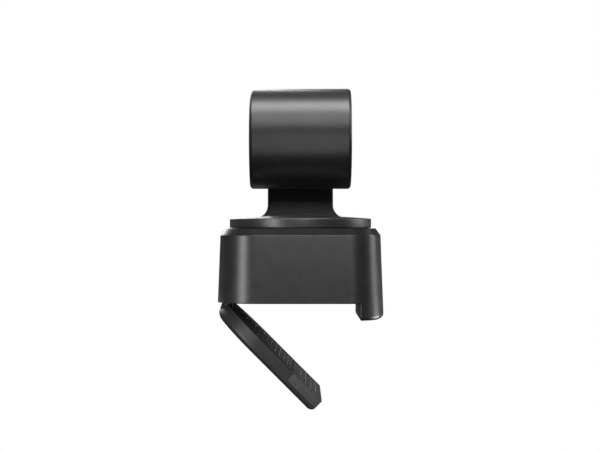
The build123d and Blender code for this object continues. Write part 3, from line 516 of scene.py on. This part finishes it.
finishes = {
    "shell_plastic": plasticMaterial("shellPlastic"),
    "turntable_plastic": plasticMaterial("turntablePlastic"),
    "leg_plastic": plasticMaterial("legPlastic"),
    "chip_black": plasticMaterial("chipPlastic"),
    "grip_rubber": rubberMaterial("gripRubber"),
    "gloss_black": glossMaterial("glossBlack"),
    "clear_glass": glassMaterial("coverGlass"),
    "lens_glass": glassMaterial("lensGlass"),
    "steel": metalMaterial("turnedSteel"),
    "black_screw": metalMaterial("blackScrew"),
    "insert_metal": metalMaterial("platedBrass"),
    "alloy": metalMaterial("heatSinkAlloy"),
    "lens_alloy": metalMaterial("lensAlloy"),
    "magnet": metalMaterial("magnetPlate"),
    "copper": windingMaterial("copperWindings"),
    "board_green": boardMaterial("solderMask"),
    "flat_cable": cableMaterial("flatCable"),
    "indicator": indicatorMaterial("indicatorPlastic"),
}
slotOf = {part["node"]: part["material_slot"] for part in frame["record"]["subparts"]}


# CAD nodes keep their vertices: a weld and an edge split only make their shading smooth
cadShading = {"weld": 0.0005 * mm, "splitAngle": 28.0}


def dressNode(node, thing):
    thing.data.materials.clear()
    thing.data.materials.append(finishes[slotOf[node]])
    for face in thing.data.polygons:
        face.use_smooth = True
    weld = thing.modifiers.new("weld", "WELD")
    weld.merge_threshold = cadShading["weld"]
    split = thing.modifiers.new("split", "EDGE_SPLIT")
    split.split_angle = math.radians(cadShading["splitAngle"])


for node, thing in frame["nodes"].items():
    dressNode(node, thing)
print("materials made and CAD nodes dressed")


def wheel(corners, axis, centre, steps=96, soft=0.0, segments=3):
    # corners are (along, radius) pairs round one closed section, spun about the along axis
    shape = bmesh.new()
    loop = [shape.verts.new((along, radius, 0)) for along, radius in corners]
    for first, second in zip(loop, loop[1:] + loop[:1]):
        if max(first.co.y, second.co.y) > 0:
            shape.edges.new((first, second))
    bmesh.ops.spin(
        shape, geom=shape.verts[:] + shape.edges[:], cent=(0, 0, 0), axis=(1, 0, 0), angle=math.tau,
        steps=steps, use_merge=True,
    )
    bmesh.ops.remove_doubles(shape, verts=shape.verts, dist=0.0001 * mm)
    bmesh.ops.recalc_face_normals(shape, faces=shape.faces)
    softenEdges(shape, soft, segments)
    turn = Vector((1, 0, 0)).rotation_difference(Vector(axis)).to_matrix().to_4x4()
    bmesh.ops.transform(shape, verts=shape.verts, matrix=Matrix.Translation(centre) @ turn)
    return shape


def softenEdges(shape, width, segments=2, sharp=35):
    if not width:
        return
    limit = math.radians(sharp)
    crisp = [edge for edge in shape.edges if edge.is_manifold and edge.calc_face_angle(0) > limit]
    bmesh.ops.bevel(
        shape, geom=crisp, offset=width, offset_type="OFFSET", segments=segments, profile=0.5,
        affect="EDGES", material=-1, clamp_overlap=True,
    )


def block(size, centre=(0, 0, 0)):
    shape = bmesh.new()
    bmesh.ops.create_cube(shape, size=1)
    bmesh.ops.scale(shape, verts=shape.verts, vec=size)
    bmesh.ops.translate(shape, verts=shape.verts, vec=centre)
    return shape


def groove(shape, axis, places, width, depth, face, margin):
    # cuts across one face of a block, then sinks the strips between each pair of cuts
    along = Vector([1 if index == axis else 0 for index in range(3)])
    for place in places:
        for edgeOf in (place - width / 2, place + width / 2):
            bmesh.ops.bisect_plane(
                shape, geom=shape.verts[:] + shape.edges[:] + shape.faces[:], plane_co=along * edgeOf,
                plane_no=along,
            )
    across = 1 - axis
    span = max(vert.co[across] for vert in shape.verts) - margin
    side = Vector([1 if index == across else 0 for index in range(3)])
    for edgeOf in (-span, span):
        bmesh.ops.bisect_plane(
            shape, geom=shape.verts[:] + shape.edges[:] + shape.faces[:], plane_co=side * edgeOf,
            plane_no=side,
        )
    facing = Vector((0, 0, face))
    strips = []
    for flat in shape.faces:
        middle = flat.calc_center_median()
        inLine = any(abs(middle[axis] - place) < width * 0.45 for place in places)
        if flat.normal.dot(facing) > 0.9 and inLine and abs(middle[across]) < span:
            strips.append(flat)
    sunk = bmesh.ops.extrude_discrete_faces(shape, faces=strips)
    verts = list({vert for flat in sunk["faces"] for vert in flat.verts})
    bmesh.ops.translate(shape, verts=verts, vec=-facing * depth)
    bmesh.ops.recalc_face_normals(shape, faces=shape.faces)


def join(target, *others):
    for other in others:
        spare = bpy.data.meshes.new("spare")
        other.to_mesh(spare)
        other.free()
        target.from_mesh(spare)
        bpy.data.meshes.remove(spare)
    return target


def finishPiece(name, shape, body, slotName, *nodes, smooth=30):
    mesh = bpy.data.meshes.new(name)
    shape.to_mesh(mesh)
    shape.free()
    mesh.materials.append(finishes[slotName])
    for face in mesh.polygons:
        face.use_smooth = True
    mesh.set_sharp_from_angle(angle=math.radians(smooth))
    thing = bpy.data.objects.new(name, mesh)
    bpy.context.collection.objects.link(thing)
    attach(thing, body)
    if nodes:
        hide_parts(*nodes)
    return thing


def midOf(node):
    low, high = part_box(node)
    return (low + high) / 2, high - low


# front face of the head: a bezel with a coned inner wall round a bevelled cover glass
bezel = {
    "seat": 9.4 * mm, "glassSeat": 10.6 * mm, "glassStep": 0.8 * mm, "cone": 0.5 * mm, "lipRound": 0.28 * mm,
    "seam": 0.18 * mm, "seamFrom": 0.9 * mm,
}


def makeBezel():
    centre, size = midOf("front_bezel")
    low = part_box("front_bezel")[0]
    deep = size.x
    outer = size.y / 2
    corners = [
        (0, bezel["seat"]), (bezel["glassStep"], bezel["seat"]), (bezel["glassStep"], bezel["glassSeat"]),
        (deep - bezel["cone"], bezel["glassSeat"]), (deep, bezel["glassSeat"] + bezel["cone"]),
        (deep, outer - bezel["seam"]), (deep - bezel["seamFrom"], outer - bezel["seam"]),
        (deep - bezel["seamFrom"], outer), (0, outer),
    ]
    shape = wheel(corners, (1, 0, 0), (low.x, centre.y, centre.z), 128, bezel["lipRound"] / 2)
    finishPiece("bezelRing", shape, "head", "gloss_black", "front_bezel")


glassEdge = 0.18 * mm


def makeGlass():
    centre, size = midOf("front_glass")
    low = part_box("front_glass")[0]
    outer = size.y / 2
    corners = [(0, 0), (size.x, 0), (size.x, outer), (0, outer)]
    shape = wheel(corners, (1, 0, 0), (low.x, centre.y, centre.z), 128, glassEdge)
    finishPiece("coverGlass", shape, "head", "clear_glass", "front_glass")


# lens surround: stepped baffles that kill stray light
baffles = {"bore": 6.75 * mm, "steps": 4, "rise": 0.16 * mm, "outerLand": 0.7 * mm, "edge": 0.05 * mm}


def makeTrimRing():
    centre, size = midOf("lens_trim_ring")
    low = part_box("lens_trim_ring")[0]
    outer = size.y / 2
    fall = (outer - baffles["outerLand"] - baffles["bore"]) / baffles["steps"]
    corners = [(0, baffles["bore"]), (0, outer), (size.x, outer), (size.x, outer - baffles["outerLand"])]
    for step in range(baffles["steps"]):
        top = size.x - baffles["rise"] * (step + 1)
        corners.append((top, outer - baffles["outerLand"] - fall * step))
        corners.append((top, outer - baffles["outerLand"] - fall * (step + 1)))
    shape = wheel(corners, (1, 0, 0), (low.x, centre.y, centre.z), 128, baffles["edge"], 2)
    finishPiece("baffleRing", shape, "head", "gloss_black", "lens_trim_ring")


# lens barrel: coned mouth and a threaded wall
barrel = {
    "bore": 4.6 * mm, "coneDepth": 0.9 * mm, "threads": 5, "threadPitch": 0.55 * mm, "threadDepth": 0.12 * mm,
    "collar": 1.1 * mm, "threadFrom": 1.4 * mm, "edge": 0.05 * mm,
}


def makeBarrel():
    centre, size = midOf("lens_barrel")
    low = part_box("lens_barrel")[0]
    outer = size.y / 2
    deep = size.x
    corners = [(0, barrel["bore"]), (deep - barrel["coneDepth"], barrel["bore"])]
    corners += [(deep, barrel["bore"] + barrel["coneDepth"]), (deep, outer), (deep - barrel["collar"], outer)]
    start = deep - barrel["threadFrom"]
    for turn in range(barrel["threads"]):
        top = start - turn * barrel["threadPitch"]
        corners += [(top, outer), (top - barrel["threadPitch"] / 2, outer - barrel["threadDepth"])]
    corners += [(start - barrel["threads"] * barrel["threadPitch"], outer), (0, outer)]
    shape = wheel(corners, (1, 0, 0), (low.x, centre.y, centre.z), 128, barrel["edge"], 2)
    finishPiece("lensBarrel", shape, "lens", "lens_alloy", "lens_barrel")


# rear cap: a fine ring groove near the edge of its flat outer face, and a hollow back
rearDish = {
    "grooveAt": 10.6 * mm, "grooveWide": 0.5 * mm, "grooveDeep": 0.35 * mm, "skirt": 1.2 * mm,
    "edge": 0.12 * mm,
}


def makeRearCap():
    centre, size = midOf("rear_cap")
    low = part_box("rear_cap")[0]
    outer = size.y / 2
    deep = size.x
    inner = outer - rearDish["skirt"]
    ring = rearDish["grooveAt"]
    wide = rearDish["grooveWide"]
    sunk = rearDish["grooveDeep"]
    corners = [
        (0, 0), (0, ring - wide), (sunk, ring - wide), (sunk, ring), (0, ring),
        (0, outer), (deep, outer), (deep, inner), (deep / 2, inner), (deep / 2, 0),
    ]
    shape = wheel(corners, (1, 0, 0), (low.x, centre.y, centre.z), 128, rearDish["edge"])
    finishPiece("rearDish", shape, "head", "shell_plastic", "rear_cap")


makeBezel()
makeGlass()
makeTrimRing()
makeBarrel()
makeRearCap()
print("head front, lens and rear cap made")

# pads on the leg: ribs run across the leg, so that it bites on the back of a screen
legPads = {
    "angle": 45.0, "start": 5.1 * mm, "length": 20.4 * mm, "width": 36.8 * mm, "thick": 0.8 * mm,
    "ribPitch": 1.7 * mm, "ribGap": 0.4 * mm, "ribDepth": 0.1 * mm, "margin": 3.0 * mm, "edge": 0.08 * mm,
}
tipCap = {
    "start": 26.5 * mm, "thick": 2.7 * mm, "width": 44.0 * mm, "ribs": 4, "ribPitch": 2.0 * mm,
    "ribGap": 0.5 * mm, "ribDepth": 0.12 * mm, "margin": 3.0 * mm, "edge": 0.14 * mm, "overreach": 0.08 * mm,
}
legInner = 0.49 * mm
hinge = next(Vector(joint["pos_m"]) for joint in frame["joints"] if joint["name"] == "leg_fold")
legPlace = Matrix.Translation(hinge) @ Matrix.Rotation(math.radians(legPads["angle"]), 4, "Y")


def makeLegPad():
    shape = block((legPads["length"], legPads["width"], legPads["thick"]))
    count = int(legPads["length"] / legPads["ribPitch"]) - 1
    places = [(index - (count - 1) / 2) * legPads["ribPitch"] for index in range(count)]
    groove(shape, 0, places, legPads["ribGap"], legPads["ribDepth"], 1, legPads["margin"])
    softenEdges(shape, legPads["edge"])
    middle = Vector((legPads["start"] + legPads["length"] / 2, 0, legInner - legPads["thick"] / 2))
    bmesh.ops.transform(shape, verts=shape.verts, matrix=legPlace @ Matrix.Translation(middle))
    finishPiece("ribbedLegPad", shape, "leg", "grip_rubber", "leg_pad")


def makeTipCap():
    low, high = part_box("leg_tip_pad")
    along = (high.x - low.x) * math.sqrt(2) - tipCap["thick"] + tipCap["overreach"]
    shape = block((along, tipCap["width"], tipCap["thick"]))
    places = [(index - (tipCap["ribs"] - 1) / 2) * tipCap["ribPitch"] for index in range(tipCap["ribs"])]
    groove(shape, 0, places, tipCap["ribGap"], tipCap["ribDepth"], 1, tipCap["margin"])
    softenEdges(shape, tipCap["edge"], 3)
    middle = Vector((tipCap["start"] + along / 2, 0, legInner - tipCap["thick"] / 2))
    bmesh.ops.transform(shape, verts=shape.verts, matrix=legPlace @ Matrix.Translation(middle))
    finishPiece("ribbedTipCap", shape, "leg", "grip_rubber", "leg_tip_pad")


makeLegPad()
makeTipCap()

# ribs of both pads under the base
ribbing = {
    "pitch": 1.9 * mm, "rib": 1.3 * mm, "margin": 0.9 * mm, "edge": 0.07 * mm, "clear": 0.45 * mm,
    "sunk": 0.05 * mm, "holeSteps": 72,
}


def plate(corners, holes, bottom, top):
    shape = bmesh.new()
    loops = [[shape.verts.new((across, along, bottom)) for across, along in corners]]
    for across, along, radius in holes:
        rim = []
        for step in range(ribbing["holeSteps"]):
            turn = math.tau * step / ribbing["holeSteps"]
            place = (across + radius * math.cos(turn), along + radius * math.sin(turn), bottom)
            rim.append(shape.verts.new(place))
        loops.append(rim)
    edges = [shape.edges.new(pair) for loop in loops for pair in zip(loop, loop[1:] + loop[:1])]
    filled = bmesh.ops.triangle_fill(shape, use_beauty=True, use_dissolve=False, edges=edges)
    faces = [piece for piece in filled["geom"] if isinstance(piece, bmesh.types.BMFace)]
    raised = bmesh.ops.extrude_face_region(shape, geom=faces)
    verts = [piece for piece in raised["geom"] if isinstance(piece, bmesh.types.BMVert)]
    bmesh.ops.translate(shape, verts=verts, vec=(0, 0, top - bottom))
    bmesh.ops.recalc_face_normals(shape, faces=shape.faces)
    return shape


def ribsAcross(low, high, bottom, top, holes):
    # ribs run along X, and each is cut where it would cross a hole
    count = int((high.y - low.y - 2 * ribbing["margin"]) / ribbing["pitch"])
    middle = (low.y + high.y) / 2
    ribs = []
    for index in range(count):
        place = middle + (index - (count - 1) / 2) * ribbing["pitch"]
        spans = [(low.x + ribbing["margin"], high.x - ribbing["margin"])]
        for across, along, radius in holes:
            near = max(0, abs(place - along) - ribbing["rib"] / 2)
            wide = radius + ribbing["clear"]
            if near < wide:
                half = math.sqrt(wide**2 - near**2)
                cut = []
                for first, last in spans:
                    cut += [(first, min(last, across - half)), (max(first, across + half), last)]
                spans = cut
        for first, last in spans:
            if last - first > ribbing["rib"]:
                middleOfRib = ((first + last) / 2, place, (bottom + top) / 2)
                rib = block((last - first, ribbing["rib"], top - bottom), middleOfRib)
                softenEdges(rib, ribbing["edge"])
                ribs.append(rib)
    return ribs


# pad under the base: a rounded plate with an opening, and ribs that stop short of it
restPad = {"mouth": 6.4 * mm, "depth": 0.2 * mm, "edge": 0.07 * mm, "corner": 2.9 * mm, "cornerSteps": 10}


def roundedCorners(centre, size, radius):
    corners = []
    for quarter, (sideX, sideY) in enumerate(((1, 1), (-1, 1), (-1, -1), (1, -1))):
        for step in range(restPad["cornerSteps"] + 1):
            turn = math.radians(90) * (quarter + step / restPad["cornerSteps"])
            corners.append((
                centre.x + sideX * (size.x / 2 - radius) + radius * math.cos(turn),
                centre.y + sideY * (size.y / 2 - radius) + radius * math.sin(turn),
            ))
    return corners


def makeRestPad():
    centre, size = midOf("underside_pad")
    low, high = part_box("underside_pad")
    holes = [(0, 0, restPad["mouth"])]
    sheet = plate(roundedCorners(centre, size, restPad["corner"]), holes, low.z + restPad["depth"], high.z)
    softenEdges(sheet, restPad["edge"], 1)
    ribs = ribsAcross(low, high, low.z, low.z + restPad["depth"] + ribbing["sunk"], holes)
    finishPiece("ribbedRestPad", join(sheet, *ribs), "base", "grip_rubber", "underside_pad")


# pad in the lip: a ribbed plate under the front edge, a thin web, then a ribbed strip that faces the screen
lipPad = {
    "plateEnd": 15.4 * mm, "webStart": 15.3 * mm, "webEnd": 16.85 * mm, "proud": 0.2 * mm,
    "screwX": 12.5 * mm, "screwY": 16.5 * mm, "screwRadius": 2.1 * mm,
    "stripLength": 39.8 * mm, "stripProud": 0.1 * mm, "stripThick": 0.6 * mm, "stripTall": 3.9 * mm,
    "ribs": 3, "ribPitch": 1.0 * mm, "ribGap": 0.3 * mm, "ribMargin": 0.8 * mm, "ribDepth": 0.12 * mm,
    "edge": 0.05 * mm,
}


def makeLipPad():
    low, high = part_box("lip_grip_pad")
    holes = [(lipPad["screwX"], side * lipPad["screwY"], lipPad["screwRadius"]) for side in (-1, 1)]
    corners = [(low.x, low.y), (lipPad["plateEnd"], low.y), (lipPad["plateEnd"], high.y), (low.x, high.y)]
    sheet = plate(corners, holes, -lipPad["proud"] + lipPad["ribDepth"], high.z)
    softenEdges(sheet, lipPad["edge"], 1)
    end = Vector((lipPad["plateEnd"], high.y, 0))
    bottom = -lipPad["proud"]
    parts = ribsAcross(low, end, bottom, bottom + lipPad["ribDepth"] + ribbing["sunk"], holes)
    reach = lipPad["webEnd"] - lipPad["webStart"]
    webMiddle = (lipPad["webStart"] + reach / 2, 0, bottom / 2)
    web = block((reach, lipPad["stripLength"], lipPad["proud"]), webMiddle)
    softenEdges(web, lipPad["edge"], 1)
    strip = block((lipPad["stripTall"], lipPad["stripLength"], lipPad["stripThick"]))
    places = [(index - (lipPad["ribs"] - 1) / 2) * lipPad["ribPitch"] for index in range(lipPad["ribs"])]
    groove(strip, 0, places, lipPad["ribGap"], lipPad["ribDepth"], 1, lipPad["ribMargin"])
    softenEdges(strip, lipPad["edge"], 1)
    middle = (lipPad["webEnd"] - lipPad["stripProud"] + lipPad["stripThick"] / 2, 0, -lipPad["stripTall"] / 2)
    turn = Matrix.Translation(middle) @ Matrix.Rotation(math.radians(-90), 4, "Y")
    bmesh.ops.transform(strip, verts=strip.verts, matrix=turn)
    finishPiece("ribbedLipPad", join(sheet, web, strip, *parts), "base", "grip_rubber", "lip_grip_pad")


makeRestPad()
makeLipPad()
print("pads made")

# metal insert: a screw thread stands in from the wall of the bore
socket = {
    "radius": 3.175 * mm, "pitch": 1.27 * mm, "depth": 6.2 * mm, "threadHeight": 0.55 * mm,
    "threadStart": 0.35 * mm, "rootOverlap": 0.02 * mm, "flank": 0.42, "crestFrom": 0.85, "crestTo": 1.15,
    "stepsPerTurn": 48, "edge": 0.08 * mm,
}


def makeInsert():
    low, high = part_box("tripod_insert")
    outer = (high.x - low.x) / 2
    tall = high.z - low.z
    corners = [
        (0, socket["radius"]), (0, outer), (tall, outer), (tall, 0), (socket["depth"], 0),
        (socket["depth"], socket["radius"]),
    ]
    body = wheel(corners, (0, 0, 1), (0, 0, low.z), 72, socket["edge"])
    thread = bmesh.new()
    root = socket["radius"] + socket["rootOverlap"]
    half = socket["pitch"] * socket["flank"]
    crest = socket["radius"] - socket["threadHeight"]
    startAt = socket["threadStart"]
    section = [
        (root, 0, startAt), (crest, 0, startAt + half * socket["crestFrom"]),
        (crest, 0, startAt + half * socket["crestTo"]), (root, 0, startAt + 2 * half),
    ]
    thread.faces.new([thread.verts.new(place) for place in section])
    turns = (socket["depth"] - startAt - 2 * half) / socket["pitch"]
    steps = int(socket["stepsPerTurn"] * turns)
    bmesh.ops.spin(
        thread, geom=thread.faces[:] + thread.edges[:] + thread.verts[:], cent=(0, 0, 0), axis=(0, 0, 1),
        dvec=(0, 0, socket["pitch"] * turns / steps), angle=math.tau * turns, steps=steps, use_merge=False,
    )
    bmesh.ops.recalc_face_normals(thread, faces=thread.faces)
    bmesh.ops.translate(thread, verts=thread.verts, vec=(0, 0, low.z))
    finishPiece("threadedInsert", join(body, thread), "base", "insert_metal", "tripod_insert")


makeInsert()

# indicator: a short light pipe with a bevelled end
lightPipe = {"bevel": 0.12 * mm, "flat": 0.55, "edge": 0.05 * mm}


def makeIndicator():
    centre, size = midOf("indicator_lens")
    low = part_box("indicator_lens")[0]
    outer = size.y / 2
    shoulder = size.x - lightPipe["bevel"]
    corners = [(0, 0), (0, outer), (shoulder, outer), (size.x, outer * lightPipe["flat"]), (size.x, 0)]
    shape = wheel(corners, (1, 0, 0), (low.x, centre.y, centre.z), 48, lightPipe["edge"])
    finishPiece("lightPipe", shape, "base", "indicator", "indicator_lens")


makeIndicator()

# socket contacts: gilt strips on both faces of the inlet's tongue
contacts = {
    "count": 10, "pitch": 0.5 * mm, "width": 0.26 * mm, "length": 3.4 * mm, "proud": 0.03 * mm,
    "inset": 0.5 * mm, "edge": 0.012 * mm,
}


def makeContacts():
    centre, size = midOf("usb_socket_tongue")
    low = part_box("usb_socket_tongue")[0]
    strips = []
    for side in (-1, 1):
        for index in range(contacts["count"]):
            across = (index - (contacts["count"] - 1) / 2) * contacts["pitch"]
            along = low.x + contacts["inset"] + contacts["length"] / 2
            place = (along, centre.y + across, centre.z + side * size.z / 2)
            strip = block((contacts["length"], contacts["width"], 2 * contacts["proud"]), place)
            softenEdges(strip, contacts["edge"], 1)
            strips.append(strip)
    finishPiece("inletContacts", join(*strips), "base", "insert_metal")


makeContacts()
print("insert, indicator and inlet contacts made")

# each lamp that has a reach lights only the bodies and nodes that it names
for lit, bodies in lampReach.values():
    for piece in bpy.data.objects:
        if piece.type == "MESH" and (piece.get("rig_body") in bodies or piece.name in bodies):
            lit.objects.link(piece)
